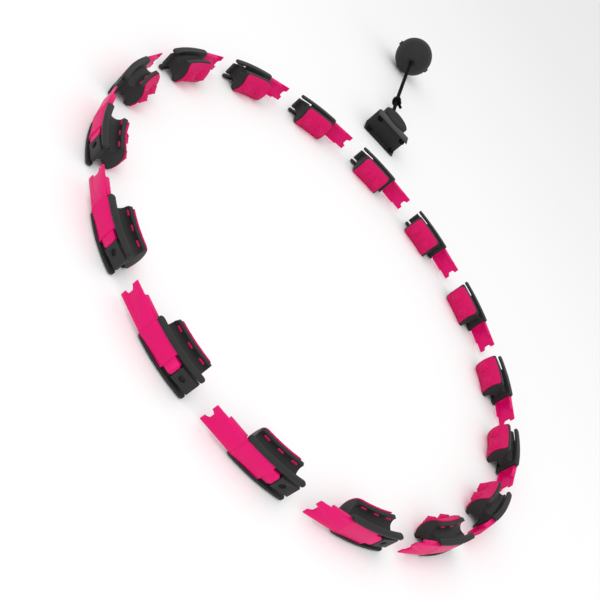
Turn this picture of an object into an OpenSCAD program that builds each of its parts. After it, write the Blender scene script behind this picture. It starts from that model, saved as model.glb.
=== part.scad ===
// Sixteen-link exercise hoop, laid out flat in a ring, with its rolling carriage and ball on a cord.
// Millimetres. The ring axis is +Z, the floor is z = 0, and the carriage stands on the +X side.
// Link pieces are drawn about the closed hoop's own centre, radial direction +X, tongue towards -Y.

/* [Layout] */
// How far each link is moved out from its closed place
spread = 138; // [60:1:220]
// Distance from the ring centre to the carriage axles
car_x = 421.6; // [400:0.1:470]
// Distance from the ring centre to the ball centre along X
ball_x = 760; // [700:1:840]
// Sideways place of the ball centre
ball_y = 9; // [-20:1:20]

/* [Closed hoop] */
// Outer radius of the black rails when the hoop is closed
rail_r = 160.7; // [130:0.1:200]
// Radial height of a rail
rail_h = 6.2; // [4:0.1:7]
// Half width over the two rails
rail_out = 13.8; // [12.5:0.1:14.4]
// Thickness of a rail across the hoop
rail_t = 2.5; // [1.8:0.1:3]
// Half of the gap left between the rails of two joined links
rail_gap = 0.15; // [0.1:0.05:2]

/* [Link body] */
// Half width of the curved carrier
wing = 15; // [14.6:0.1:17]
// Depth of the carrier's arch across its width
arch = 5.3; // [3:0.1:6.5]
// Radius of the side grooves the wheels run in
groove_r = 6.6; // [5.6:0.1:7]
// Half width of the neck between the grooves
neck = 6.4; // [5:0.1:7.5]
// Half angle of the carrier and neck
body_a = 9.2; // [7.5:0.1:9.8]
// Corner radius of the carrier seen from the ring centre
wing_c = 3; // [1:0.1:5]

/* [Joint between links] */
// Half width of the middle plate with the snap hole
plate = 7.6; // [6:0.1:8]
// Depth of the plate face under the outer radius of the rails
plate_d = 1.2; // [0.6:0.1:2]
// Thickness of the middle plate
plate_h = 3.5; // [2.5:0.1:4.5]
// Radius of the snap hole
hole_r = 3; // [2:0.1:3.6]
// Length of the tongue from the end of the rails
tongue_l = 34; // [26:0.5:36]
// Sliding clearance between tongue and plate
slide = 0.4; // [0.2:0.05:0.8]
// Depth of the notch in the tongue's end
notch = 4; // [2:0.1:6]
// Length of the tongue's side walls
cheek_l = 20.5; // [14:0.5:21]

/* [Massage pad] */
// Thickness of the pad's skin
pad_t = 1.6; // [1:0.1:2.2]
// Half width of the pad
pad_w = 14.4; // [12:0.1:14.8]
// Radius of a massage dome
dome_r = 6.6; // [5:0.1:7.2]
// Distance of a dome from the middle of the pad
dome_y = 11.5; // [9:0.1:13]
// Radius of the small nubs on a dome
nub_r = 1.5; // [1:0.1:2]

/* [Carriage] */
// Half length of the carriage
car_l = 31.3; // [29:0.1:36]
// Clearance between the rails and the carriage's side walls
track_gap = 0.5; // [0.3:0.1:1.5]
// Thickness of the carriage's side walls
car_t = 1.5; // [1.2:0.1:1.5]
// Clear depth from the axles to the channel floor
car_d = 17; // [15:0.1:19]
// Radius of the round housing
drum_r = 22.6; // [18:0.1:28]
// Distance from the axles to the middle of the housing
drum_x = 38.4; // [36:0.1:42]
// Wheel radius
wheel_r = 4.8; // [4:0.1:5]
// Distance of a wheel from the middle along the track
wheel_y = 23.3; // [20:0.1:25]

/* [Cord and ball] */
// Ball radius
ball_r = 33; // [26:0.5:40]
// Wall thickness of the ball shells
shell_t = 2.4; // [1.8:0.1:3.5]
// Cord radius
cord_r = 3; // [2:0.1:3]

/* [Hidden] */
$fn = 48;
pitch = 22.5;
rail_a = pitch / 2 - asin((rail_h / 2 + rail_gap) / (rail_r - rail_h / 2));
rail_l = (rail_r - rail_h / 2) * sin(rail_a) + rail_h / 2;
rail_in = rail_out - rail_t;
plate_x = rail_r - plate_d;
web_top = rail_r - 3.4;
crest = rail_r + 0.5;
gap = 0.15;
inner = rail_r - 26.5;
arch_r = (wing * wing + arch * arch) / (2 * arch);
arch_x = inner + arch_r;
groove_x = rail_r - 11.2;
groove_z = neck + groove_r;
hole_y = -12.4;
car_h = rail_out + track_gap + car_t;
wheel_z = rail_in - 0.9;
eye_x = car_x + drum_x + drum_r + 6.4;

// Places a link piece: k is the link's number, 14 stands on the +X side.
module at_link(k) {
  rotate([0, 0, pitch * (k - 14)])
    translate([spread, 0, wing])
      children();
}

// Sector of a revolved profile between two angles, profile drawn as [radius, height].
module sector(a0, a1) {
  rotate([0, 0, a0])
    rotate_extrude(angle = a1 - a0)
      children();
}

// Prism that starts at [x, y] and runs towards -Y turned by a degrees, section drawn as [x, z].
module along(x, y, a, len) {
  translate([x, y, 0])
    rotate([0, 0, a])
      rotate([90, 0, 0])
        linear_extrude(len)
          children();
}

// Rectangle with round corners, centred, as a flat shape.
module round_rect(a, b, r) {
  square([a, b - 2 * r], center = true);
  square([a - 2 * r, b], center = true);
  for (i = [-1, 1], j = [-1, 1])
    translate([i * (a / 2 - r), j * (b / 2 - r)])
      circle(r);
}

// What round corners of radius r leave of a centred rectangle's four corners.
module corners(a, b, r) {
  for (i = [-1, 1], j = [-1, 1])
    translate([i * (a / 2 - r), j * (b / 2 - r)])
      difference() {
        translate([i * (r + 2) / 2, j * (r + 2) / 2])
          square(r + 2, center = true);
        circle(r);
      }
}

// Carrier and neck section: arched inner side, a round groove each side.
module body_section() {
  difference() {
    intersection() {
      translate([arch_x, 0])
        circle(arch_r);
      translate([inner - 4, -wing])
        square([26.3, 2 * wing]);
    }
    for (s = [-1, 1]) {
      translate([groove_x, s * groove_z])
        circle(groove_r);
      translate([groove_x, s * (groove_z + 5)])
        square([2 * groove_r, 10], center = true);
      translate([rail_r - 5.2, s * (rail_out + 5)])
        square([6, 10], center = true);
    }
  }
}

// One rail with half-round ends, s is the side.
module rail(s) {
  z0 = s > 0 ? rail_in : -rail_out;
  sector(-rail_a, rail_a)
    translate([rail_r - rail_h, z0])
      square([rail_h, rail_t]);
  for (e = [-1, 1])
    rotate([0, 0, e * rail_a])
      translate([rail_r - rail_h / 2, 0, z0])
        cylinder(h = rail_t, r = rail_h / 2);
}

// Slots of the pad's pegs through the wings, m grows them.
module peg_slots(m, x0, x1) {
  for (s = [-1, 1], e = [-1, 0, 1])
    rotate([0, 0, e * 6.1])
      translate([x0, 0, s * 12])
        rotate([0, 90, 0])
          linear_extrude(x1 - x0)
            round_rect(1.8 + m, 6 + m, 0.85);
}

// Black body of a link: rails, web, middle plate, neck and carrier.
module frame() {
  difference() {
    union() {
      sector(-body_a, body_a)
        body_section();
      sector(-10.9, 3.9)
        translate([rail_r - rail_h - 0.3, -rail_in - 0.4])
          square([web_top - rail_r + rail_h + 0.3, 2 * rail_in + 0.8]);
    }
    // Round corners of the carrier
    translate([inner - 9, 0, 0])
      rotate([0, 90, 0])
        linear_extrude(20)
          corners(2 * wing, 2 * (inner + 4.8) * sin(body_a), wing_c);
    // Slits between plate and rails at the hole end
    for (s = [-1, 1])
      translate([rail_r - 10.7, 10.9, s > 0 ? plate - 0.2 : -rail_in - 0.1])
        cube([20, 30, rail_in - plate + 0.3]);
    peg_slots(0.3, inner - 4, inner + 16);
  }
  rail(1);
  rail(-1);
  // Middle plate, flat along the direction a neighbour's tongue slides in
  difference() {
    rotate([0, 0, pitch / 2])
      translate([plate_x - plate_h, -19.5, -plate])
        cube([plate_h, 18.9, 2 * plate]);
    rotate([0, 0, pitch / 2])
      translate([plate_x - 2.2, hole_y, 0])
        rotate([0, 90, 0])
          cylinder(h = 5, r = hole_r);
  }
}

// Section of the track piece: flat middle with two sloping facets each side.
module crown(h, w) {
  polygon([[-h, -w], [-1.3, -w], [-0.5, -w + 3.2], [0, -w * 0.42], [0, w * 0.42], [-0.5, w - 3.2],
           [-1.3, w], [-h, w]]);
}

// Pink track piece: body, nose with tab, and the tongue that joins the next link.
module track() {
  w = rail_in - gap;
  tw = rail_in - 0.3;
  top = plate_x + slide + 2.5;
  a0 = atan2(top * cos(pitch / 2) - crest, rail_r * sin(pitch / 2) + 1.5);
  // The tab stops just short of the plate's end
  tab_end = (plate_x - plate_h) * sin(pitch / 2) - 19.5 * cos(pitch / 2) - 0.2;
  difference() {
    union() {
      along(crest, 1.5, a0, rail_l + 1.5)
        crown(8, w);
      // Nose and tab on the hole side
      translate([web_top - 1, 0, 0])
        rotate([0, 90, 0])
          linear_extrude(crest - web_top - 0.2) {
            translate([0, 4.4])
              square([2 * plate - 0.6, 8.8], center = true);
            translate([0, 6.2])
              round_rect(2 * plate - 0.6, 9.8, 3.6);
            translate([0, (5.5 + tab_end) / 2])
              square([8.2, tab_end - 5.5], center = true);
          }
    }
    cylinder(h = 60, r = web_top + gap, center = true, $fn = 180);
  }
  // Tongue
  rotate([0, 0, -pitch / 2])
    difference() {
      intersection() {
        translate([0, 0, -tw])
          linear_extrude(2 * tw)
            polygon([[plate_x + slide, 1.4], [top, 1.4], [top, -2], [top - 0.9, -tongue_l],
                     [plate_x + slide, -tongue_l]]);
        along(top, 2, 0, tongue_l + 4)
          crown(8, tw + 0.01);
      }
      translate([rail_r - 10, -tongue_l, 0])
        rotate([0, 90, 0])
          linear_extrude(20)
            polygon([[-4.2, -1], [-4.9, 1], [-3, notch], [3, notch], [4.9, 1], [4.2, -1]]);
    }
  // Side walls of the tongue
  for (s = [-1, 1])
    rotate([0, 0, -pitch / 2])
      translate([top - 6, -cheek_l, s * (tw - 1.1) - 1.1])
        cube([4.5, cheek_l - 0.4, 2.2]);
  // Root block between the body and the tongue's side walls
  rotate([0, 0, -pitch / 2])
    translate([plate_x + slide, -0.4, -tw])
      cube([1, 2, 2 * tw]);
  // Snap button
  rotate([0, 0, -pitch / 2])
    translate([plate_x + slide / 2, hole_y, 0])
      rotate([0, 90, 0])
        cylinder(h = 1, r = hole_r - 0.5);
}

// Massage pad: curved skin on the carrier with two domes and three pegs each side.
module pad() {
  intersection() {
    sector(-body_a, body_a)
      difference() {
        intersection() {
          translate([arch_x, 0])
            circle(arch_r + pad_t);
          translate([inner - 9, -pad_w])
            square([16, 2 * pad_w]);
        }
        translate([arch_x, 0])
          circle(arch_r + 0.05);
      }
    translate([inner - 14, 0, 0])
      rotate([0, 90, 0])
        linear_extrude(24)
          round_rect(2 * pad_w, 2 * inner * sin(body_a) - 1, 4.2);
  }
  for (e = [-1, 1])
    rotate([0, 0, e * asin(dome_y / (inner + 0.5))])
      dome();
  peg_slots(0.1, inner + 2.6, inner + 9.4);
}

// One massage dome with its ring of nubs, closed off above the carrier.
module dome() {
  c = inner + 0.5;
  difference() {
    union() {
      translate([c, 0, 0])
        sphere(dome_r);
      for (i = [0:7])
        translate([c - 2.6, (dome_r - 1.1) * cos(45 * i), (dome_r - 1.1) * sin(45 * i)])
          sphere(nub_r);
      translate([c - dome_r + 0.5, 0, 0])
        sphere(nub_r);
    }
    translate([inner - 0.4, -10, -10])
      cube([20, 20, 20]);
  }
}

// Carriage body: channel over the rails, open towards the hoop, with the round housing outside
// and a stub axle for each wheel.
module carriage_body() {
  color([0.2, 0.2, 0.2])
    translate([car_x, 0, car_h]) {
      for (s = [-1, 1], e = [-1, 1])
        translate([0, e * wheel_y, s * (car_h - 0.5 + wheel_z - 2.6) / 2])
          cylinder(h = car_h - wheel_z + 2.1, r = 1.2, center = true);
      difference() {
        union() {
          translate([(car_d + 3 - 2.6) / 2, 0, 0])
            rotate([0, 90, 0])
              translate([0, 0, -(car_d + 5.6) / 2])
                linear_extrude(car_d + 5.6)
                  round_rect(2 * car_h, 2 * car_l, 3);
          translate([drum_x, 0, -car_h])
            cylinder(h = 2 * car_h, r = drum_r, $fn = 96);
        }
        // Channel
        translate([-20, -60, -car_h + car_t])
          cube([20 + car_d, 120, 2 * (car_h - car_t)]);
        // Seat of the cap
        translate([drum_x, 0, car_h - 1.6])
          cylinder(h = 5, r = drum_r + 0.1, $fn = 96);
        // Mouth for the swivel
        translate([drum_x, 0, -4.3])
          linear_extrude(8.6)
            polygon([[-3, 0], [0, -10], [15, -30], [40, -30], [40, 30], [15, 30], [0, 10]]);
        translate([drum_x, 0, -4.3])
          cylinder(h = 8.6, r = 10);
        // Bore of the swivel's pin
        translate([drum_x, 0, -10])
          cylinder(h = 40, r = 3);
      }
    }
}

// Cap that closes the housing, with the swivel's pin on its inner side.
module carriage_cap() {
  color([0.12, 0.12, 0.12])
    translate([car_x + drum_x, 0, 2 * car_h - 1.55]) {
      cylinder(h = 1.95, r = drum_r, $fn = 96);
      translate([0, 0, -22.6])
        cylinder(h = 22.6, r = 2.9);
    }
}

// One wheel, s its side across the track and e its end along it.
module wheel(s, e) {
  color([0.05, 0.05, 0.05])
    translate([car_x, e * wheel_y, car_h + s * wheel_z])
      difference() {
        union() {
          cylinder(h = 3.8, r = wheel_r - 0.5, center = true);
          cylinder(h = 2.6, r = wheel_r, center = true);
        }
        cylinder(h = 6, r = 1.28, center = true);
        for (z = [-1, 1])
          translate([0, 0, z * 1.9])
            cylinder(h = 0.8, r = 2.6, center = true);
      }
}
module wheel_a() { wheel(1, 1); }
module wheel_b() { wheel(-1, 1); }
module wheel_c() { wheel(1, -1); }
module wheel_d() { wheel(-1, -1); }

// Swivel that turns on the housing's pin and holds the cord.
module swivel() {
  color([0.16, 0.16, 0.16])
    translate([car_x + drum_x, 0, car_h])
      difference() {
        union() {
          cylinder(h = 8, r = 8.6, center = true);
          translate([4, -4.5, -4])
            cube([drum_r - 2.6, 9, 8]);
          translate([drum_r + 0.8, 0, 0])
            rotate([0, 90, 0])
              cylinder(h = 5.6, r = 5);
        }
        cylinder(h = 12, r = 2.97, center = true);
        translate([drum_r - 3.6, 0, 0])
          rotate([0, 90, 0])
            cylinder(h = 12, r = cord_r + 0.1);
      }
}

// Cord from the swivel's socket to the ball's collar: rings of eight points swept along a path.
cord_s = ball_x - ball_r - 2 - eye_x;
cord_path = [
  [eye_x - 6, 0, car_h], [eye_x, 0, car_h], [eye_x + 12, 0.2, 15.6], [eye_x + 26, 0.6, 15.6],
  [eye_x + 40, 1, 16], [eye_x + 56, 1.8, 16.8], [eye_x + 74, 2.6, 17.8],
  for (q = [[0.39, 3.4, 19], [0.47, 4.2, 20.2], [0.54, 4.8, 21.4], [0.62, 5.6, 22.8],
            [0.7, 6.4, 24.4], [0.77, 7.2, 26], [0.85, 8, 27.8], [0.92, 8.6, 29.6]])
    [eye_x + q[0] * cord_s, ball_y * q[1] / 9, q[2]],
  [ball_x - ball_r - 8, ball_y, ball_r - 1.7], [ball_x - ball_r - 2, ball_y, ball_r - 1.4],
  [ball_x - ball_r + 4, ball_y, ball_r - 1.4]
];
module tube(p, r, n) {
  m = len(p);
  function dir(i) = let (a = p[max(i - 1, 0)], b = p[min(i + 1, m - 1)]) (b - a) / norm(b - a);
  pts = [for (i = [0:m - 1], j = [0:n - 1])
    let (d = dir(i), s = cross([0, 0, 1], d), u = s / norm(s), v = cross(d, u), t = 360 * j / n)
    p[i] + r * (cos(t) * u + sin(t) * v)];
  sides = [for (i = [0:m - 2], j = [0:n - 1])
    [i * n + j, (i + 1) * n + j, (i + 1) * n + (j + 1) % n, i * n + (j + 1) % n]];
  ends = [[for (j = [0:n - 1]) j], [for (j = [0:n - 1]) m * n - 1 - j]];
  polyhedron(pts, concat(sides, ends));
}
module cord() {
  color([0.03, 0.03, 0.03])
    tube(cord_path, cord_r, 10);
}

// Overhand knot in the cord: two tilted turns round it and the short loose end.
module cord_knot() {
  color([0.03, 0.03, 0.03])
    translate([eye_x + 73, 2.6, 17.8]) {
      for (e = [-1, 1])
        translate([e * 3.4, e * 1.6, 0])
          rotate([0, 90 - e * 12, e * 24])
            rotate_extrude()
              translate([cord_r + 0.6, 0])
                circle(2.7);
      translate([-4, -5, 0])
        rotate([90, 0, -34])
          cylinder(h = 8, r = 2.6);
    }
}

// One half of the ball's shell, s = 1 the upper one.
module ball_shell(s) {
  color([0.11, 0.11, 0.12])
    translate([ball_x, ball_y, ball_r])
      difference() {
        union() {
          intersection() {
            sphere(ball_r, $fn = 96);
            translate([0, 0, s * 50])
              cube([100, 100, 100 - 0.1], center = true);
          }
          // Half of the screw lug at each side
          for (e = [-1, 1])
            translate([0, e * (ball_r - 2), s * 1.8])
              cylinder(h = 3.5, r = 4.2, center = true);
          // Half of the cord collar
          intersection() {
            translate([-ball_r - 1.6, 0, -1.4])
              rotate([0, 90, 0])
                cylinder(h = 6, r = 6.4);
            translate([0, 0, s * 50])
              cube([200, 100, 100 - 0.1], center = true);
          }
        }
        sphere(ball_r - shell_t, $fn = 96);
        translate([-ball_r - 5, 0, -1.4])
          rotate([0, 90, 0])
            cylinder(h = 14, r = cord_r + 0.4);
        for (e = [-1, 1])
          translate([0, e * (ball_r + 0.2), 0])
            cylinder(h = 8.2, r = 0.9, center = true);
      }
}
module ball_shell_lower() { ball_shell(-1); }
module ball_shell_upper() { ball_shell(1); }

// Weight that fills the ball.
module ball_weight() {
  color([0.45, 0.45, 0.47])
    translate([ball_x, ball_y, ball_r])
      difference() {
        sphere(ball_r - shell_t - 0.1, $fn = 96);
        translate([-ball_r, 0, -1.4])
          rotate([0, 90, 0])
            cylinder(h = 12, r = cord_r + 2);
      }
}

// The link pieces by number
module link_frame(k) {
  color([0.2, 0.2, 0.2])
    at_link(k)
      frame();
}
module link_track(k) {
  color([0.98, 0.17, 0.5])
    at_link(k)
      track();
}
module link_pad(k) {
  color([0.82, 0.15, 0.38])
    at_link(k)
      pad();
}

// Pieces by node name
link_frame(1);  // link_01_frame
link_track(1);  // link_01_track
link_pad(1);  // link_01_pad
link_frame(2);  // link_02_frame
link_track(2);  // link_02_track
link_pad(2);  // link_02_pad
link_frame(3);  // link_03_frame
link_track(3);  // link_03_track
link_pad(3);  // link_03_pad
link_frame(4);  // link_04_frame
link_track(4);  // link_04_track
link_pad(4);  // link_04_pad
link_frame(5);  // link_05_frame
link_track(5);  // link_05_track
link_pad(5);  // link_05_pad
link_frame(6);  // link_06_frame
link_track(6);  // link_06_track
link_pad(6);  // link_06_pad
link_frame(7);  // link_07_frame
link_track(7);  // link_07_track
link_pad(7);  // link_07_pad
link_frame(8);  // link_08_frame
link_track(8);  // link_08_track
link_pad(8);  // link_08_pad
link_frame(9);  // link_09_frame
link_track(9);  // link_09_track
link_pad(9);  // link_09_pad
link_frame(10);  // link_10_frame
link_track(10);  // link_10_track
link_pad(10);  // link_10_pad
link_frame(11);  // link_11_frame
link_track(11);  // link_11_track
link_pad(11);  // link_11_pad
link_frame(12);  // link_12_frame
link_track(12);  // link_12_track
link_pad(12);  // link_12_pad
link_frame(13);  // link_13_frame
link_track(13);  // link_13_track
link_pad(13);  // link_13_pad
link_frame(14);  // link_14_frame
link_track(14);  // link_14_track
link_pad(14);  // link_14_pad
link_frame(15);  // link_15_frame
link_track(15);  // link_15_track
link_pad(15);  // link_15_pad
link_frame(16);  // link_16_frame
link_track(16);  // link_16_track
link_pad(16);  // link_16_pad
carriage_body();
carriage_cap();
wheel_a();
wheel_b();
wheel_c();
wheel_d();
swivel();
cord();
cord_knot();
ball_shell_lower();
ball_shell_upper();
ball_weight();
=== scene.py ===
"""Sixteen-link exercise hoop laid out in a ring, with its wheeled carriage and ball on a cord.

Everything is in metres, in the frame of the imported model: the ring's axis is +Z, the floor is z = 0
and the carriage stands on the +X side.
"""

import logging
import math
from dataclasses import dataclass
from enum import Enum
from typing import Callable, Iterable, List, Sequence, Tuple

import bmesh
import bpy
from mathutils import Matrix, Vector


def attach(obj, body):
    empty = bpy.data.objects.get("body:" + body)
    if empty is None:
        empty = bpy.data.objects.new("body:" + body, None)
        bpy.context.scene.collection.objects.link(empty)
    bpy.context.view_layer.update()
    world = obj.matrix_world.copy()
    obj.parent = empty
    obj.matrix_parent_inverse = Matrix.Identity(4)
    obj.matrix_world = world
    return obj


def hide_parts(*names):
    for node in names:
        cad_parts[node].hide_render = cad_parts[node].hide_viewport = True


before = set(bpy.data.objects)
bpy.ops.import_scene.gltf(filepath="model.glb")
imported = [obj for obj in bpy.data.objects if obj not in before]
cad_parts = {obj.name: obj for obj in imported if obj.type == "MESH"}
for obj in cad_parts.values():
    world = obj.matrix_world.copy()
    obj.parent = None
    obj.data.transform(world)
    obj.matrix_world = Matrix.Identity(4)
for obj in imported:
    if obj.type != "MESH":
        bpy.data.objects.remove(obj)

LOG = logging.getLogger("hoop")
MM = 0.001
Point = Tuple[float, float, float]
Colour = Tuple[float, float, float]


class Slot(Enum):
    """The record's material slots."""

    SHELL = "black_shell"
    TRACK = "pink_track"
    PAD = "pink_pad"
    HOUSING = "grey_housing"
    CAP = "dark_cap"
    WHEEL = "black_wheel"
    CORD = "black_cord"
    BALL = "ball_shell"
    WEIGHT = "iron_weight"


# ---------------------------------------------------------------------------------------------
# Working with objects
# ---------------------------------------------------------------------------------------------


def deselect() -> None:
    """Leaves object mode and selects nothing."""
    if bpy.context.object is not None and bpy.context.object.mode != "OBJECT":
        bpy.ops.object.mode_set(mode="OBJECT")
    bpy.ops.object.select_all(action="DESELECT")


def pick(obj: bpy.types.Object) -> bpy.types.Object:
    """Selects one object alone and makes it active.

    Args:
        obj: the object.

    Returns:
        The same object.
    """
    deselect()
    obj.select_set(True)
    bpy.context.view_layer.objects.active = obj
    return obj


def settle(obj: bpy.types.Object) -> bpy.types.Object:
    """Puts the object's place, turn and size into its mesh."""
    pick(obj)
    bpy.ops.object.transform_apply(location=True, rotation=True, scale=True)
    return obj


def merge(parts: Sequence[bpy.types.Object], name: str) -> bpy.types.Object:
    """Joins meshes into one object.

    Args:
        parts: the objects; the first keeps its data.
        name: the joined object's name.

    Returns:
        The joined object.
    """
    pick(parts[0])
    for part in parts:
        part.select_set(True)
    bpy.ops.object.join()
    parts[0].name = name
    parts[0].data.name = name
    return parts[0]


def apply_modifier(obj: bpy.types.Object, kind: str, **values: object) -> None:
    """Adds a modifier with these values and applies it.

    Args:
        obj: the object that gets it.
        kind: the modifier's type name.
        values: its settings.
    """
    pick(obj)
    modifier = obj.modifiers.new(kind.lower(), kind)
    for key, value in values.items():
        setattr(modifier, key, value)
    bpy.ops.object.modifier_apply(modifier=modifier.name)


def smooth(obj: bpy.types.Object, degrees: float = 38.0) -> bpy.types.Object:
    """Shades faces smooth where they meet at less than an angle."""
    pick(obj)
    bpy.ops.object.shade_smooth_by_angle(angle=math.radians(degrees))
    return obj


def select_faces(obj: bpy.types.Object, test: Callable[[Vector, Vector], bool]) -> None:
    """Enters edit mode with the faces selected that pass a test.

    Args:
        obj: the mesh object.
        test: takes a face's centre and normal.
    """
    pick(obj)
    bpy.ops.object.mode_set(mode="EDIT")
    bpy.ops.mesh.select_mode(type="FACE")
    bpy.ops.mesh.select_all(action="DESELECT")
    bm = bmesh.from_edit_mesh(obj.data)
    for face in bm.faces:
        face.select_set(test(obj.matrix_world @ face.calc_center_median(), face.normal))
    bmesh.update_edit_mesh(obj.data)


def cylinder(radius: float, depth: float, at: Sequence[float], turn: Sequence[float] = (0, 0, 0),
             sides: int = 48) -> bpy.types.Object:
    """Adds a cylinder blank.

    Args:
        radius: its radius.
        depth: its length.
        at: its middle.
        turn: Euler angles in radians.
        sides: how many sides it has.

    Returns:
        The new object.
    """
    deselect()
    bpy.ops.mesh.primitive_cylinder_add(vertices=sides, radius=radius, depth=depth, location=at,
                                        rotation=turn)
    return bpy.context.object


def moulded_copy(node: str, name: str, edge: float, sharp: float = 33.0) -> bpy.types.Object:
    """Copies a CAD node and rounds its edges as a mould does.

    Args:
        node: the CAD node.
        name: the new piece's name.
        edge: the width of the rounding.
        sharp: edges over this angle, in degrees, are rounded.

    Returns:
        The new piece.
    """
    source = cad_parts[node]
    obj = bpy.data.objects.new(name, source.data.copy())
    obj.data.materials.clear()
    bpy.context.scene.collection.objects.link(obj)
    pick(obj)
    bpy.ops.object.mode_set(mode="EDIT")
    bpy.ops.mesh.select_all(action="SELECT")
    bpy.ops.mesh.remove_doubles(threshold=2e-6)
    bpy.ops.mesh.dissolve_limited(angle_limit=math.radians(1.2))
    bpy.ops.object.mode_set(mode="OBJECT")
    apply_modifier(obj, "BEVEL", width=edge, segments=2, limit_method="ANGLE",
                   angle_limit=math.radians(sharp), use_clamp_overlap=False, miter_outer="MITER_ARC")
    return smooth(obj)


def copy_turned(obj: bpy.types.Object, name: str, degrees: float) -> bpy.types.Object:
    """Copies a piece, with a mesh of its own, turned about the ring's axis.

    Args:
        obj: the piece to copy.
        name: the copy's name.
        degrees: the turn.

    Returns:
        The copy.
    """
    twin = obj.copy()
    twin.data = obj.data.copy()
    twin.name = name
    twin.data.name = name
    twin.data.transform(Matrix.Rotation(math.radians(degrees), 4, "Z"))
    bpy.context.scene.collection.objects.link(twin)
    return twin


def place(obj: bpy.types.Object, body: str, slot: Slot, material: bpy.types.Material,
          nodes: Iterable[str] = ()) -> bpy.types.Object:
    """Dresses a finished piece and hands it to its CAD body.

    Args:
        obj: the piece.
        body: the CAD body it rides on.
        slot: the record's slot it is finished in; not used.
        material: its material.
        nodes: the CAD nodes it stands for.

    Returns:
        The piece.
    """
    obj.data.materials.clear()
    obj.data.materials.append(material)
    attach(obj, body)
    names = list(nodes)
    if names:
        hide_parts(*names)
    LOG.info("%s: %d faces, on %s", obj.name, len(obj.data.polygons), body)
    return obj


# ---------------------------------------------------------------------------------------------
# Materials
# ---------------------------------------------------------------------------------------------


class NodeSheet:
    """Builds the nodes of a group or a material, left to right."""

    def __init__(self, tree: bpy.types.NodeTree) -> None:
        """Starts on an empty tree."""
        self.tree = tree
        self.column = 0

    def add(self, kind: str, **values: object) -> bpy.types.Node:
        """Adds a node.

        Args:
            kind: the node type's identifier.
            values: attributes to set, or input values where the name is an input's.

        Returns:
            The node.
        """
        node = self.tree.nodes.new(kind)
        node.location = (self.column * 190, 0)
        self.column += 1
        for key, value in values.items():
            setattr(node, key, value)
        return node

    def link(self, source: bpy.types.NodeSocket, target: bpy.types.NodeSocket) -> None:
        """Joins an output to an input."""
        self.tree.links.new(source, target)

    def math(self, operation: str, a: object, b: object = 0.0, clamp: bool = False) -> bpy.types.NodeSocket:
        """Adds a Math node whose inputs are sockets or numbers.

        Args:
            operation: the Math operation.
            a: the first input.
            b: the second input.
            clamp: whether the result stays in 0 to 1.

        Returns:
            Its output.
        """
        node = self.add("ShaderNodeMath", operation=operation, use_clamp=clamp)
        for index, value in enumerate((a, b)):
            if isinstance(value, bpy.types.NodeSocket):
                self.link(value, node.inputs[index])
            else:
                node.inputs[index].default_value = value
        return node.outputs[0]


GroupParts = Tuple[bpy.types.NodeTree, NodeSheet, bpy.types.Node, bpy.types.Node]


def new_group(name: str, inputs: Sequence[Tuple[str, str, object]],
              outputs: Sequence[Tuple[str, str]]) -> GroupParts:
    """Makes an empty shader node group.

    Args:
        name: the group's name.
        inputs: name, socket type and default of each input.
        outputs: name and socket type of each output.

    Returns:
        The group, its sheet, its input node and its output node.
    """
    group = bpy.data.node_groups.new(name, "ShaderNodeTree")
    for label, kind, default in inputs:
        socket = group.interface.new_socket(label, in_out="INPUT", socket_type=kind)
        if default is not None:
            socket.default_value = default
    for label, kind in outputs:
        group.interface.new_socket(label, in_out="OUTPUT", socket_type=kind)
    sheet = NodeSheet(group)
    return group, sheet, sheet.add("NodeGroupInput"), sheet.add("NodeGroupOutput")


def build_grain_group() -> bpy.types.NodeTree:
    """Builds the fine grain of a spark-eroded mould, with slow changes of tone."""
    group, sheet, inp, out = new_group(
        "moulded_grain",
        [("Position", "NodeSocketVector", None), ("Grain size", "NodeSocketFloat", 0.0006),
         ("Patch size", "NodeSocketFloat", 0.02)],
        [("Height", "NodeSocketFloat"), ("Tone", "NodeSocketFloat")])
    fine = sheet.add("ShaderNodeTexNoise")
    fine.inputs["Detail"].default_value = 3.0
    fine.inputs["Roughness"].default_value = 0.6
    sheet.link(inp.outputs["Position"], fine.inputs["Vector"])
    sheet.link(sheet.math("DIVIDE", 1.0, inp.outputs["Grain size"]), fine.inputs["Scale"])
    pits = sheet.add("ShaderNodeTexVoronoi")
    sheet.link(inp.outputs["Position"], pits.inputs["Vector"])
    sheet.link(sheet.math("DIVIDE", 0.7, inp.outputs["Grain size"]), pits.inputs["Scale"])
    patch = sheet.add("ShaderNodeTexNoise")
    patch.inputs["Detail"].default_value = 2.0
    sheet.link(inp.outputs["Position"], patch.inputs["Vector"])
    sheet.link(sheet.math("DIVIDE", 1.0, inp.outputs["Patch size"]), patch.inputs["Scale"])
    height = sheet.math("ADD", sheet.math("MULTIPLY", fine.outputs["Fac"], 0.6),
                        sheet.math("MULTIPLY", pits.outputs["Distance"], 0.4))
    sheet.link(height, out.inputs["Height"])
    sheet.link(sheet.math("ADD", sheet.math("MULTIPLY", patch.outputs["Fac"], 0.7),
                          sheet.math("MULTIPLY", fine.outputs["Fac"], 0.3)), out.inputs["Tone"])
    return group


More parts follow.
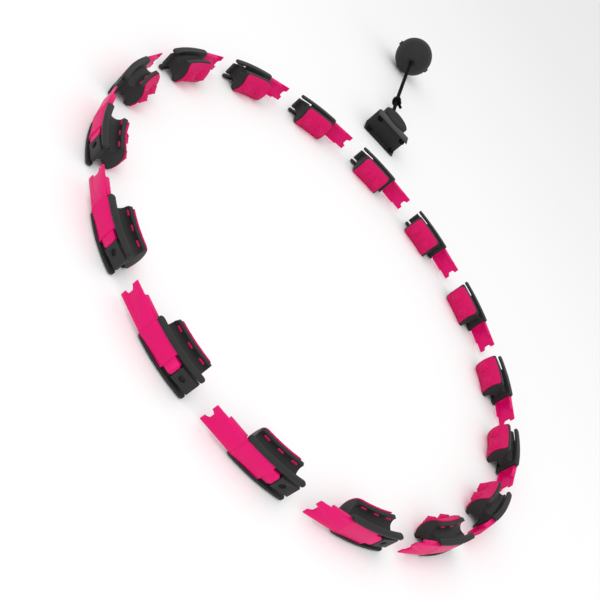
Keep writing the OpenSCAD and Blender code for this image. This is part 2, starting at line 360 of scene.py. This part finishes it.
def build_edge_wear_and_highlight_group() -> bpy.types.NodeTree:
    """Builds a lighter colour along proud edges, broken up by noise: partly rubbing wear and partly a painted
    highlight; on the pink track and pad it is the painted highlight of their bright edge lines.
    """
    group, sheet, inp, out = new_group(
        "edge_wear_and_highlight",
        [("Position", "NodeSocketVector", None), ("Amount", "NodeSocketFloat", 0.3)],
        [("Mask", "NodeSocketFloat")])
    shape = sheet.add("ShaderNodeNewGeometry")
    breakup = sheet.add("ShaderNodeTexNoise")
    breakup.inputs["Scale"].default_value = 260.0
    breakup.inputs["Detail"].default_value = 4.0
    sheet.link(inp.outputs["Position"], breakup.inputs["Vector"])
    proud = sheet.math("MULTIPLY", sheet.math("SUBTRACT", shape.outputs["Pointiness"], 0.53), 9.0, clamp=True)
    mask = sheet.math("MULTIPLY", proud, sheet.math("ADD", breakup.outputs["Fac"], 0.1))
    sheet.link(sheet.math("MULTIPLY", mask, inp.outputs["Amount"], clamp=True), out.inputs["Mask"])
    return group


def build_braid_group() -> bpy.types.NodeTree:
    """Builds a round braid over a tube whose UV runs round it in turns and along it in metres; its Shade
    output is darker in the grooves between strands, a painted shade.
    """
    group, sheet, inp, out = new_group(
        "round_braid",
        [("UV", "NodeSocketVector", None), ("Strands", "NodeSocketFloat", 8.0),
         ("Lay", "NodeSocketFloat", 0.012)],
        [("Height", "NodeSocketFloat"), ("Shade", "NodeSocketFloat")])
    parts = sheet.add("ShaderNodeSeparateXYZ")
    sheet.link(inp.outputs["UV"], parts.inputs[0])
    round_it = sheet.math("MULTIPLY", parts.outputs["X"], inp.outputs["Strands"])
    along = sheet.math("MULTIPLY", sheet.math("DIVIDE", parts.outputs["Y"], inp.outputs["Lay"]),
                       inp.outputs["Strands"])
    left = sheet.math("ADD", round_it, along)
    right = sheet.math("SUBTRACT", round_it, along)
    crest_l = sheet.math("ABSOLUTE", sheet.math("SINE", sheet.math("MULTIPLY", left, math.pi)))
    crest_r = sheet.math("ABSOLUTE", sheet.math("SINE", sheet.math("MULTIPLY", right, math.pi)))
    strands = sheet.math("MULTIPLY", sheet.math("ADD", left, right), math.pi)
    over = sheet.math("GREATER_THAN", sheet.math("SINE", strands), 0.0)
    under = sheet.math("SUBTRACT", 1.0, over)
    height = sheet.math("ADD", sheet.math("MULTIPLY", crest_l, over), sheet.math("MULTIPLY", crest_r, under))
    sheet.link(height, out.inputs["Height"])
    # Shade: darker towards the grooves between strands, painted shade.
    sheet.link(sheet.math("POWER", height, 1.5), out.inputs["Shade"])
    return group


class Surface(Enum):
    """How a finish is broken up."""

    GRAIN = "grain"
    BRAID = "braid"


@dataclass(frozen=True)
class Finish:
    """One finish: its two tones, its gloss and its texture."""

    name: str
    colour: Colour
    second: Colour
    roughness: float
    spread: float = 0.08
    grain: float = 0.0006
    patch: float = 0.02
    depth: float = 0.04
    # rub and rub_and_highlight_colour: a lighter colour on proud edges, partly wear and partly a painted
    # highlight.
    rub_and_highlight: float = 0.25
    rub_and_highlight_colour: Colour = (0.3, 0.3, 0.3)
    specular: float = 0.5
    coat: float = 0.0
    sheen: float = 0.0
    metallic: float = 0.0
    surface: Surface = Surface.GRAIN

    def build(self, groups: "Groups") -> bpy.types.Material:
        """Builds the material.

        Args:
            groups: the shared node groups.

        Returns:
            The material.
        """
        material = bpy.data.materials.new(self.name)
        material.use_nodes = True
        tree = material.node_tree
        tree.nodes.clear()
        sheet = NodeSheet(tree)
        where = sheet.add("ShaderNodeTexCoord")
        shader = sheet.add("ShaderNodeBsdfPrincipled")
        out = sheet.add("ShaderNodeOutputMaterial")
        sheet.link(shader.outputs["BSDF"], out.inputs["Surface"])
        pattern = sheet.add("ShaderNodeGroup")
        if self.surface is Surface.BRAID:
            pattern.node_tree = groups.braid
            sheet.link(where.outputs["UV"], pattern.inputs["UV"])
            # The braid's Shade darkens the grooves between strands: painted shade. The grain's Tone is random
            # patches.
            tone_and_braid_shade, height, reach = pattern.outputs["Shade"], pattern.outputs["Height"], 0.0004
        else:
            pattern.node_tree = groups.grain
            pattern.inputs["Grain size"].default_value = self.grain
            pattern.inputs["Patch size"].default_value = self.patch
            sheet.link(where.outputs["Object"], pattern.inputs["Position"])
            tone_and_braid_shade, height, reach = pattern.outputs["Tone"], pattern.outputs["Height"], 0.0001
        tones = sheet.add("ShaderNodeMix", data_type="RGBA")
        tones.inputs[6].default_value = (*self.second, 1.0)
        tones.inputs[7].default_value = (*self.colour, 1.0)
        sheet.link(tone_and_braid_shade, tones.inputs[0])
        wear_and_highlight = sheet.add("ShaderNodeGroup")
        wear_and_highlight.node_tree = groups.wear_and_highlight
        wear_and_highlight.inputs["Amount"].default_value = self.rub_and_highlight
        sheet.link(where.outputs["Object"], wear_and_highlight.inputs["Position"])
        # Mixes in the lighter edge colour: painted highlight, and rubbing wear on the dark parts.
        rubbed_and_highlit = sheet.add("ShaderNodeMix", data_type="RGBA")
        rubbed_and_highlit.inputs[7].default_value = (*self.rub_and_highlight_colour, 1.0)
        sheet.link(wear_and_highlight.outputs["Mask"], rubbed_and_highlit.inputs[0])
        sheet.link(tones.outputs[2], rubbed_and_highlit.inputs[6])
        sheet.link(rubbed_and_highlit.outputs[2], shader.inputs["Base Color"])
        rough = sheet.math("ADD", sheet.math("MULTIPLY", tone_and_braid_shade, self.spread), self.roughness - self.spread / 2)
        sheet.link(rough, shader.inputs["Roughness"])
        bump = sheet.add("ShaderNodeBump")
        bump.inputs["Strength"].default_value = min(1.0, self.depth * 10)
        bump.inputs["Distance"].default_value = reach
        sheet.link(height, bump.inputs["Height"])
        sheet.link(bump.outputs["Normal"], shader.inputs["Normal"])
        shader.inputs["Specular IOR Level"].default_value = self.specular
        shader.inputs["Coat Weight"].default_value = self.coat
        shader.inputs["Coat Roughness"].default_value = 0.2
        shader.inputs["Sheen Weight"].default_value = self.sheen
        shader.inputs["Metallic"].default_value = self.metallic
        return material


class Groups:
    """The node groups that the finishes share."""

    def __init__(self) -> None:
        """Builds each group once."""
        self.grain = build_grain_group()
        self.wear_and_highlight = build_edge_wear_and_highlight_group()
        self.braid = build_braid_group()


class Palette:
    """Every finish of the object, as materials."""

    FINISHES = {
        Slot.SHELL: Finish("black_shell_plastic", (0.025, 0.025, 0.0254), (0.016, 0.016, 0.0163), 0.52,
                           rub_and_highlight_colour=(0.09, 0.09, 0.09), specular=0.2),
        # The track's bright pink edge colour is a painted highlight along its edges.
        Slot.TRACK: Finish("pink_track_plastic", (0.74, 0.003, 0.15), (0.68, 0.002, 0.13), 0.42, grain=0.0009,
                           depth=0.02, rub_and_highlight=0.6, rub_and_highlight_colour=(0.98, 0.02, 0.24), coat=0.03, specular=0.12),
        # The pad's lighter pink edge colour is a painted highlight along its rim.
        Slot.PAD: Finish("deep_pink_pad", (0.64, 0.004, 0.118), (0.56, 0.003, 0.098), 0.66, grain=0.0005,
                         depth=0.05, rub_and_highlight=0.2, rub_and_highlight_colour=(0.85, 0.03, 0.2), specular=0.15, sheen=0.02),
        # Grey housing plastic, its colour lifted further to make up for the shade inside the channel: partly
        # painted light.
        Slot.HOUSING: Finish("grey_housing_plastic_with_painted_light", (0.038, 0.038, 0.0385), (0.028, 0.028, 0.0284), 0.52,
                             rub_and_highlight_colour=(0.09, 0.09, 0.09), specular=0.2),
        Slot.CAP: Finish("dark_cap_plastic", (0.006, 0.006, 0.0062), (0.003, 0.003, 0.0031), 0.58,
                         rub_and_highlight_colour=(0.05, 0.05, 0.05), specular=0.15),
        Slot.WHEEL: Finish("black_wheel_rubber", (0.003, 0.003, 0.003), (0.0015, 0.0015, 0.0015), 0.75,
                           grain=0.0003, depth=0.06, rub_and_highlight_colour=(0.03, 0.03, 0.03), specular=0.1),
        # The cord's second, nearly black colour is the painted shade in the braid's grooves.
        Slot.CORD: Finish("braided_cord", (0.006, 0.006, 0.0062), (0.0005, 0.0005, 0.0005), 0.85, depth=0.09,
                          rub_and_highlight=0.0, specular=0.08, surface=Surface.BRAID),
        Slot.BALL: Finish("ball_shell_plastic", (0.026, 0.026, 0.0265), (0.018, 0.018, 0.0183), 0.58,
                          rub_and_highlight_colour=(0.08, 0.08, 0.08), specular=0.2),
        Slot.WEIGHT: Finish("cast_weight", (0.2, 0.2, 0.21), (0.12, 0.11, 0.11), 0.6, grain=0.0015,
                            depth=0.09, rub_and_highlight_colour=(0.5, 0.5, 0.5), metallic=0.85),
    }

    def __init__(self) -> None:
        """Builds every material."""
        groups = Groups()
        self.of = {slot: finish.build(groups) for slot, finish in self.FINISHES.items()}


# ---------------------------------------------------------------------------------------------
# Camera and surroundings
# ---------------------------------------------------------------------------------------------


@dataclass
class Camera:
    """The camera: where it stands, what it looks at and how far it leans over."""

    place: Point = (-0.763, 0.2363, 0.4374)
    target: Point = (-0.0544, 0.0207, 0.0)
    lean: float = 52.95
    lens: float = 50.65

    def build(self) -> None:
        """Makes the camera the scene's own."""
        data = bpy.data.cameras.new("camera")
        data.lens = self.lens
        data.sensor_width = 36.0
        data.clip_end = 50.0
        obj = bpy.data.objects.new("camera", data)
        bpy.context.scene.collection.objects.link(obj)
        ahead = (Vector(self.target) - Vector(self.place)).normalized()
        turn = ahead.to_track_quat("-Z", "Y").to_matrix().to_4x4()
        obj.matrix_world = (Matrix.Translation(self.place) @ turn
                            @ Matrix.Rotation(math.radians(self.lean), 4, "Z"))
        bpy.context.scene.camera = obj


@dataclass
class Studio:
    """Pale floor, white surroundings and soft lamps."""

    floor_size: float = 12.0
    sky: float = 0.88

    def build(self) -> None:
        """Makes the floor, the surroundings and the lamps."""
        deselect()
        bpy.ops.mesh.primitive_plane_add(size=self.floor_size, location=(0.2, 0, -0.0004))
        floor = bpy.context.object
        floor.name = "studio_floor"
        paint = bpy.data.materials.new("studio_floor_paint")
        paint.use_nodes = True
        shader = paint.node_tree.nodes["Principled BSDF"]
        shader.inputs["Base Color"].default_value = (0.93, 0.93, 0.93, 1)
        shader.inputs["Roughness"].default_value = 0.7
        shader.inputs["Specular IOR Level"].default_value = 0.1
        floor.data.materials.append(paint)
        world = bpy.data.worlds.new("studio")
        world.use_nodes = True
        world.node_tree.nodes["Background"].inputs[0].default_value = (1, 1, 1, 1)
        world.node_tree.nodes["Background"].inputs[1].default_value = self.sky
        bpy.context.scene.world = world
        self.lamp("overhead", (-0.5, 0.6, 1.9), (0, 0, 0), 1.6, 10.0)
        self.lamp("front", (-1.6, -0.2, 0.9), (0.1, 0, 0), 1.2, 4.0)
        bpy.context.scene.view_settings.view_transform = "Standard"

    def lamp(self, name: str, at: Point, target: Point, size: float, power: float) -> None:
        """Adds one soft lamp.

        Args:
            name: the lamp's name.
            at: where it hangs.
            target: the point it faces.
            size: the side of its square.
            power: its power in watts.
        """
        data = bpy.data.lights.new(name, "AREA")
        data.size = size
        data.energy = power
        obj = bpy.data.objects.new(name, data)
        bpy.context.scene.collection.objects.link(obj)
        obj.location = at
        obj.rotation_euler = (Vector(target) - Vector(at)).to_track_quat("-Z", "Y").to_euler()


# ---------------------------------------------------------------------------------------------
# Cord, knot and ball
# ---------------------------------------------------------------------------------------------


def sweep(name: str, route: Sequence[Sequence[float]], radius: float, sides: int, steps: int,
          taper: float = 0.0) -> bpy.types.Object:
    """Makes a closed round tube along a smooth route, with UV in turns and metres.

    Args:
        name: the tube's name.
        route: the points it goes through.
        radius: the tube's radius.
        sides: faces round it.
        steps: rings between two points of the route.
        taper: how much of the radius is lost at the last end.

    Returns:
        The tube.
    """
    points = [Vector(p) for p in route]
    line: List[Vector] = []
    for index in range(len(points) - 1):
        a, b = points[max(index - 1, 0)], points[index]
        c, d = points[index + 1], points[min(index + 2, len(points) - 1)]
        for step in range(steps):
            t = step / steps
            line.append(0.5 * (2 * b + (c - a) * t + (2 * a - 5 * b + 4 * c - d) * t * t
                               + (3 * b - a - 3 * c + d) * t ** 3))
    line.append(points[-1])
    bm = bmesh.new()
    layer = bm.loops.layers.uv.new("UVMap")
    rings, far, run = [], [], 0.0
    side = Vector((0, 0, 1))
    for index, point in enumerate(line):
        ahead = (line[min(index + 1, len(line) - 1)] - line[max(index - 1, 0)]).normalized()
        side = (side - ahead * side.dot(ahead)).normalized()
        other = ahead.cross(side)
        run += (point - line[max(index - 1, 0)]).length
        width = radius * (1 - taper * index / (len(line) - 1))
        rings.append([bm.verts.new(point + width * (math.cos(2 * math.pi * j / sides) * side
                                                    + math.sin(2 * math.pi * j / sides) * other))
                      for j in range(sides)])
        far.append(run)
    for index in range(len(rings) - 1):
        for j in range(sides):
            k = (j + 1) % sides
            face = bm.faces.new((rings[index][j], rings[index][k], rings[index + 1][k], rings[index + 1][j]))
            for loop, (u, v) in zip(face.loops, ((j, 0), (j + 1, 0), (j + 1, 1), (j, 1))):
                loop[layer].uv = (u / sides, far[index + v])
    bm.faces.new(rings[0])
    bm.faces.new(rings[-1])
    bmesh.ops.recalc_face_normals(bm, faces=bm.faces)
    mesh = bpy.data.meshes.new(name)
    bm.to_mesh(mesh)
    bm.free()
    obj = bpy.data.objects.new(name, mesh)
    bpy.context.scene.collection.objects.link(obj)
    return smooth(obj, 50)


@dataclass
class BallLine:
    """The cord from the swivel, its knot and the ball."""

    eye: float = 0.489
    ball: Point = (0.76, 0.009, 0.033)
    ball_radius: float = 0.033
    cord_radius: float = 0.003
    wall: float = 0.0024
    body: str = "ball_line"

    def route(self) -> List[Point]:
        """The cord's route: out of the swivel, along and up into the ball's collar."""
        x, end = self.eye * 1000, self.ball[0] * 1000 - 35
        span = end - x
        near = [(x - 6, 0, 15.8), (x, 0, 15.8), (x + 12, 0.2, 15.6), (x + 26, 0.6, 15.6), (x + 40, 1, 16),
                (x + 56, 1.8, 16.8), (x + 74, 2.6, 17.8)]
        middle = [(x + f * span, y, z) for f, y, z in (
            (0.39, 3.4, 19), (0.47, 4.2, 20.2), (0.54, 4.8, 21.4), (0.62, 5.6, 22.8), (0.7, 6.4, 24.4),
            (0.77, 7.2, 26), (0.85, 8, 27.8), (0.92, 8.6, 29.6))]
        close = [(end - 6, 9, 31.3), (end, 9, 31.6), (end + 6, 9, 31.6)]
        return [(a * MM, b * MM, c * MM) for a, b, c in near + middle + close]

    def cord_piece(self, palette: Palette) -> bpy.types.Object:
        """Makes the braided cord in place of its CAD tube."""
        piece = sweep("braided_cord", self.route(), self.cord_radius * 0.985, 24, 8)
        return place(piece, self.body, Slot.CORD, palette.of[Slot.CORD], ["cord"])

    def knot_piece(self, palette: Palette) -> bpy.types.Object:
        """Makes the overhand knot: two turns round the cord and a loose end."""
        middle = Vector((self.eye + 0.073, 0.0026, 0.0178))
        turns: List[Vector] = []
        for step in range(19):
            angle = math.radians(200 + step * 38)
            along = -5.2 + 10.4 * step / 18
            swell = 4.1 + 0.7 * math.sin(math.pi * step / 18)
            turns.append(middle + MM * Vector((along + 1.6 * math.sin(angle), swell * math.cos(angle),
                                               swell * math.sin(angle))))
        back = [(1.5, -5.4, 2.6), (-2.5, -5.9, 1.2), (-5.2, -8.0, 0.2), (-8.2, -11.2, 0.0)]
        tail = [middle + MM * Vector(p) for p in back]
        loop = sweep("knot_loop", turns, 2.5 * MM, 16, 4)
        end = sweep("knot_end", tail, 2.5 * MM, 16, 4, 0.08)
        piece = smooth(merge([loop, end], "cord_overhand_knot"), 60)
        return place(piece, self.body, Slot.CORD, palette.of[Slot.CORD], ["cord_knot"])

    def shell_piece(self, side: int, name: str, node: str, palette: Palette) -> bpy.types.Object:
        """Makes one half of the ball with its half collar and half lugs.

        Args:
            side: 1 for the upper half, -1 for the lower.
            name: the piece's name.
            node: the CAD node it stands for.
            palette: the materials.

        Returns:
            The piece.
        """
        centre = Vector(self.ball)
        deselect()
        bpy.ops.mesh.primitive_uv_sphere_add(segments=96, ring_count=48, radius=self.ball_radius - 0.0001,
                                             location=centre)
        shell = settle(bpy.context.object)
        self.halve(shell, side, 0.00006)
        apply_modifier(shell, "SOLIDIFY", thickness=self.wall, offset=-1.0)
        apply_modifier(shell, "BEVEL", width=0.00035, segments=2, limit_method="ANGLE",
                       angle_limit=math.radians(50))
        collar = cylinder(0.0064, 0.006, centre + Vector((-self.ball_radius + 0.0014, 0, -0.0014)),
                          (0, math.pi / 2, 0), 48)
        settle(collar)
        select_faces(collar, lambda at, n: n.x < -0.9)
        bpy.ops.mesh.inset(thickness=0.0026)
        bpy.ops.transform.translate(value=(0.002, 0, 0))
        bpy.ops.object.mode_set(mode="OBJECT")
        self.halve(collar, side, 0.00006, True)
        apply_modifier(collar, "BEVEL", width=0.0004, segments=2, limit_method="ANGLE",
                       angle_limit=math.radians(50))
        parts = [shell, collar]
        for end in (-1, 1):
            lug_at = centre + Vector((0, end * (self.ball_radius - 0.002), side * 0.00182))
            lug = cylinder(0.0042, 0.0034, lug_at, sides=32)
            settle(lug)
            select_faces(lug, lambda at, n: n.z * side > 0.9)
            bpy.ops.mesh.inset(thickness=0.0014)
            bpy.ops.transform.translate(value=(0, 0, -side * 0.0008))
            bpy.ops.object.mode_set(mode="OBJECT")
            apply_modifier(lug, "BEVEL", width=0.0003, segments=2, limit_method="ANGLE",
                           angle_limit=math.radians(50))
            parts.append(lug)
        piece = smooth(merge(parts, name))
        return place(piece, self.body, Slot.BALL, palette.of[Slot.BALL], [node])

    def halve(self, obj: bpy.types.Object, side: int, gap: float, fill: bool = False) -> None:
        """Cuts a blank along the ball's seam and keeps one half.

        Args:
            obj: the blank.
            side: the half that is kept, 1 for the upper.
            gap: how far the cut stays from the seam.
            fill: whether the cut is closed with a face.
        """
        pick(obj)
        bpy.ops.object.mode_set(mode="EDIT")
        bpy.ops.mesh.select_all(action="SELECT")
        bpy.ops.mesh.bisect(plane_co=(0, 0, self.ball[2] + side * gap), plane_no=(0, 0, side),
                            clear_inner=True, use_fill=fill)
        bpy.ops.object.mode_set(mode="OBJECT")

    def build(self, palette: Palette) -> None:
        """Args:
            palette: the materials.
        """
        cord = self.cord_piece(palette)
        knot = self.knot_piece(palette)
        lower = self.shell_piece(-1, "ball_lower_half", "ball_shell_lower", palette)
        upper = self.shell_piece(1, "ball_upper_half", "ball_shell_upper", palette)
        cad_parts["ball_weight"].data.materials.clear()
        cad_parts["ball_weight"].data.materials.append(palette.of[Slot.WEIGHT])


# ---------------------------------------------------------------------------------------------
# Carriage
# ---------------------------------------------------------------------------------------------


@dataclass
class Carriage:
    """The wheeled carriage: channel and round housing, cap, swivel and wheels."""

    axle_x: float = 0.4216
    mid_z: float = 0.0158
    drum_x: float = 0.46
    drum_radius: float = 0.0226
    wheel_y: float = 0.0233
    wheel_z: float = 0.0104

    def housing(self, palette: Palette) -> None:
        """Dresses the channel with its round housing."""
        piece = moulded_copy("carriage_body", "carriage_housing", 0.0005)
        place(piece, "carriage", Slot.HOUSING, palette.of[Slot.HOUSING], ["carriage_body"])

    def cap(self, palette: Palette) -> None:
        """Makes the round cap: a low disc with a ring groove, and the swivel's pin under it."""
        disc = cylinder(self.drum_radius - 0.00005, 0.0019, (self.drum_x, 0, 0.03103), sides=128)
        settle(disc)
        for inset, drop in ((0.0016, 0.0), (0.0005, -0.0004), (0.0005, 0.0004), (0.011, -0.0002)):
            select_faces(disc, lambda at, n: n.z > 0.9
                         and (at - Vector((self.drum_x, 0, at.z))).length < 0.0005)
            bpy.ops.mesh.inset(thickness=inset)
            bpy.ops.transform.translate(value=(0, 0, drop))
            bpy.ops.object.mode_set(mode="OBJECT")
        apply_modifier(disc, "BEVEL", width=0.00025, segments=2, limit_method="ANGLE",
                       angle_limit=math.radians(25))
        pin = cylinder(0.0029, 0.0225, (self.drum_x, 0, 0.0188), sides=32)
        settle(pin)
        apply_modifier(pin, "BEVEL", width=0.0004, segments=2, limit_method="ANGLE",
                       angle_limit=math.radians(50))
        piece = smooth(merge([disc, pin], "housing_cap"))
        place(piece, "carriage", Slot.CAP, palette.of[Slot.CAP], ["carriage_cap"])

    def swivel(self, palette: Palette) -> None:
        """Dresses the swivel that holds the cord."""
        piece = moulded_copy("swivel", "cord_swivel", 0.0004)
        place(piece, "ball_line", Slot.CAP, palette.of[Slot.CAP], ["swivel"])

    def wheel(self, letter: str, side: int, end: int, palette: Palette) -> None:
        """Makes one wheel: crowned tread, recessed sides and a hub with its bore.

        Args:
            letter: the wheel's letter.
            side: 1 above the track's middle, -1 below it.
            end: 1 or -1, the end of the carriage.
            palette: the materials.
        """
        at = Vector((self.axle_x, end * self.wheel_y, self.mid_z + side * self.wheel_z))
        profile = [(1.28, 1.6), (1.28, -1.6), (1.9, -1.6), (2.1, -1.0), (3.3, -1.0), (3.6, -1.9), (4.2, -1.9),
                   (4.65, -1.4), (4.8, -0.5), (4.8, 0.5), (4.65, 1.4), (4.2, 1.9), (3.6, 1.9), (3.3, 1.0),
                   (2.1, 1.0), (1.9, 1.6)]
        mesh = bpy.data.meshes.new("wheel_profile")
        verts = [at + MM * Vector((r, 0, z)) for r, z in profile]
        mesh.from_pydata(verts, [(i, (i + 1) % len(profile)) for i in range(len(profile))], [])
        piece = bpy.data.objects.new(f"track_wheel_{letter}", mesh)
        bpy.context.scene.collection.objects.link(piece)
        pick(piece)
        bpy.ops.object.mode_set(mode="EDIT")
        bpy.ops.mesh.select_all(action="SELECT")
        bpy.ops.mesh.spin(steps=40, angle=2 * math.pi, center=at, axis=(0, 0, 1))
        bpy.ops.mesh.select_all(action="SELECT")
        bpy.ops.mesh.remove_doubles(threshold=2e-6)
        bpy.ops.mesh.normals_make_consistent(inside=False)
        bpy.ops.object.mode_set(mode="OBJECT")
        smooth(piece, 30)
        place(piece, f"wheel_{letter}", Slot.WHEEL, palette.of[Slot.WHEEL], [f"wheel_{letter}"])

    def build(self, palette: Palette) -> None:
        """Makes the whole carriage.

        Args:
            palette: the materials.
        """
        self.housing(palette)
        self.cap(palette)
        self.swivel(palette)
        for letter, side, end in (("a", 1, 1), ("b", -1, 1), ("c", 1, -1), ("d", -1, -1)):
            self.wheel(letter, side, end, palette)


# ---------------------------------------------------------------------------------------------
# Links
# ---------------------------------------------------------------------------------------------


@dataclass
class Link:
    """One link as it stands on the +X side, and its copies round the ring."""

    spread: float = 0.138
    inner: float = 0.1342
    wing: float = 0.015
    arch: float = 0.0053
    pad_thick: float = 0.0016
    pad_half: float = 0.0144
    pad_long: float = 0.0205
    corner: float = 0.0042
    dome_radius: float = 0.0066
    dome_at: float = 0.0115
    nub_radius: float = 0.0015
    pitch: float = 22.5
    count: int = 16
    home: int = 14

    def surface(self, along: float, across: float, lift: float) -> Vector:
        """A point over the carrier's arched inner side.

        Args:
            along: distance from the pad's middle round the hoop.
            across: distance from the middle plane.
            lift: height over the carrier, towards the ring's centre.

        Returns:
            The point in the row frame.
        """
        arch_r = (self.wing ** 2 + self.arch ** 2) / (2 * self.arch)
        radius = self.inner + arch_r - math.sqrt(max((arch_r + lift) ** 2 - across ** 2, 0.0))
        angle = along / self.inner
        return Vector((self.spread + radius * math.cos(angle), radius * math.sin(angle), self.wing + across))

    def rounded(self, u: float, v: float) -> Tuple[float, float]:
        """Moves a point of a plain rectangle so that its corners come out round.

        Args:
            u: place along the pad.
            v: place across the pad.

        Returns:
            The moved place.
        """
        a, b, r = self.pad_long, self.pad_half, self.corner
        p, q = (abs(u) - (a - r)) / r, (abs(v) - (b - r)) / r
        if p <= 0 or q <= 0:
            return u, v
        x, y = p * math.sqrt(1 - q * q / 2), q * math.sqrt(1 - p * p / 2)
        return math.copysign(a - r + r * x, u), math.copysign(b - r + r * y, v)

    def pad_master(self) -> bpy.types.Object:
        """Makes the massage pad: crowned skin, two knobbly domes and the pegs behind it."""
        deselect()
        bpy.ops.mesh.primitive_grid_add(x_subdivisions=56, y_subdivisions=40, size=2.0)
        skin = bpy.context.object
        for vertex in skin.data.vertices:
            u, v = self.rounded(vertex.co.x * self.pad_long, vertex.co.y * self.pad_half)
            vertex.co = self.surface(u, v, 0.0001)
        pick(skin)
        bpy.ops.object.mode_set(mode="EDIT")
        bpy.ops.mesh.select_all(action="SELECT")
        bpy.ops.mesh.normals_make_consistent(inside=False)
        bpy.ops.object.mode_set(mode="OBJECT")
        toward = sum((p.normal.x for p in skin.data.polygons))
        apply_modifier(skin, "SOLIDIFY", thickness=self.pad_thick - 0.0001,
                       offset=-1.0 if toward > 0 else 1.0)
        parts = [skin]
        for end in (-1, 1):
            turn = math.asin(end * self.dome_at / (self.inner + 0.0005))
            spin = Matrix.Rotation(turn, 4, "Z")
            base = Matrix.Translation((self.spread, 0, self.wing)) @ spin
            parts.append(self.ball(base, (self.inner + 0.0005, 0, 0), self.dome_radius, 32))
            for index in range(8):
                a = math.radians(45 * index)
                reach = self.dome_radius - 0.0011
                parts.append(self.ball(base, (self.inner - 0.0021, reach * math.cos(a), reach * math.sin(a)),
                                       self.nub_radius + 0.0003, 16))
            parts.append(self.ball(base, (self.inner - self.dome_radius + 0.001, 0, 0), self.nub_radius, 14))
        pad = merge(parts, "pad_master")
        apply_modifier(pad, "REMESH", mode="VOXEL", voxel_size=0.00042)
        apply_modifier(pad, "SMOOTH", factor=0.5, iterations=1)
        pegs = [self.peg(side, end) for side in (-1, 1) for end in (-1, 0, 1)]
        pad = merge([pad] + pegs, "pad_master")
        return smooth(pad, 60)

    def ball(self, base: Matrix, at: Point, radius: float, segments: int) -> bpy.types.Object:
        """Adds a ball blank whose lower part hides in the skin.

        Args:
            base: the dome's own frame.
            at: the ball's centre in that frame.
            radius: its radius.
            segments: its segments.

        Returns:
            The ball.
        """
        deselect()
        bpy.ops.mesh.primitive_uv_sphere_add(segments=segments, ring_count=segments // 2, radius=radius,
                                             location=base @ Vector(at))
        obj = settle(bpy.context.object)
        limit = self.spread + self.inner + 0.0008
        pick(obj)
        bpy.ops.object.mode_set(mode="EDIT")
        bpy.ops.mesh.select_all(action="SELECT")
        bpy.ops.mesh.bisect(plane_co=(limit, 0, 0), plane_no=(1, 0, 0), clear_outer=True, use_fill=True)
        bpy.ops.object.mode_set(mode="OBJECT")
        return obj

    def peg(self, side: int, end: int) -> bpy.types.Object:
        """Makes one peg of the pad, which shows in its slot in the carrier.

        Args:
            side: -1 or 1 across the hoop.
            end: -1, 0 or 1 along it.

        Returns:
            The peg.
        """
        deselect()
        bpy.ops.mesh.primitive_cube_add(size=1.0, location=(self.inner + 0.006, 0, side * 0.012))
        peg = bpy.context.object
        peg.scale = (0.0068, 0.0061, 0.0019)
        settle(peg)
        apply_modifier(peg, "BEVEL", width=0.0006, segments=3, limit_method="ANGLE",
                       angle_limit=math.radians(40))
        peg.data.transform(Matrix.Translation((self.spread, 0, self.wing))
                           @ Matrix.Rotation(math.radians(6.1 * end), 4, "Z"))
        return peg

    def build(self, palette: Palette) -> None:
        """Makes one link's pieces and copies them to every place in the ring.

        Args:
            palette: the materials.
        """
        home = f"link_{self.home:02d}"
        masters = {
            "frame": (moulded_copy(f"{home}_frame", "shell_master", 0.0003), Slot.SHELL, "shell"),
            "track": (moulded_copy(f"{home}_track", "track_master", 0.0003), Slot.TRACK, "track_cover"),
            "pad": (self.pad_master(), Slot.PAD, "massage_pad"),
        }
        for number in range(1, self.count + 1):
            body = f"link_{number:02d}"
            for part, (master, slot, word) in masters.items():
                piece = copy_turned(master, f"{body}_{word}", self.pitch * (number - self.home))
                place(piece, body, slot, palette.of[slot], [f"{body}_{part}"])
        for master, _, _ in masters.values():
            mesh = master.data
            bpy.data.objects.remove(master)
            bpy.data.meshes.remove(mesh)


def main() -> None:
    """Builds the scene and reports each piece."""
    logging.basicConfig(level=logging.INFO, format="%(name)s %(message)s")
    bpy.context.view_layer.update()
    Camera().build()
    palette = Palette()
    BallLine().build(palette)
    Carriage().build(palette)
    Link().build(palette)
    Studio().build()


if __name__ == "__main__":
    main()
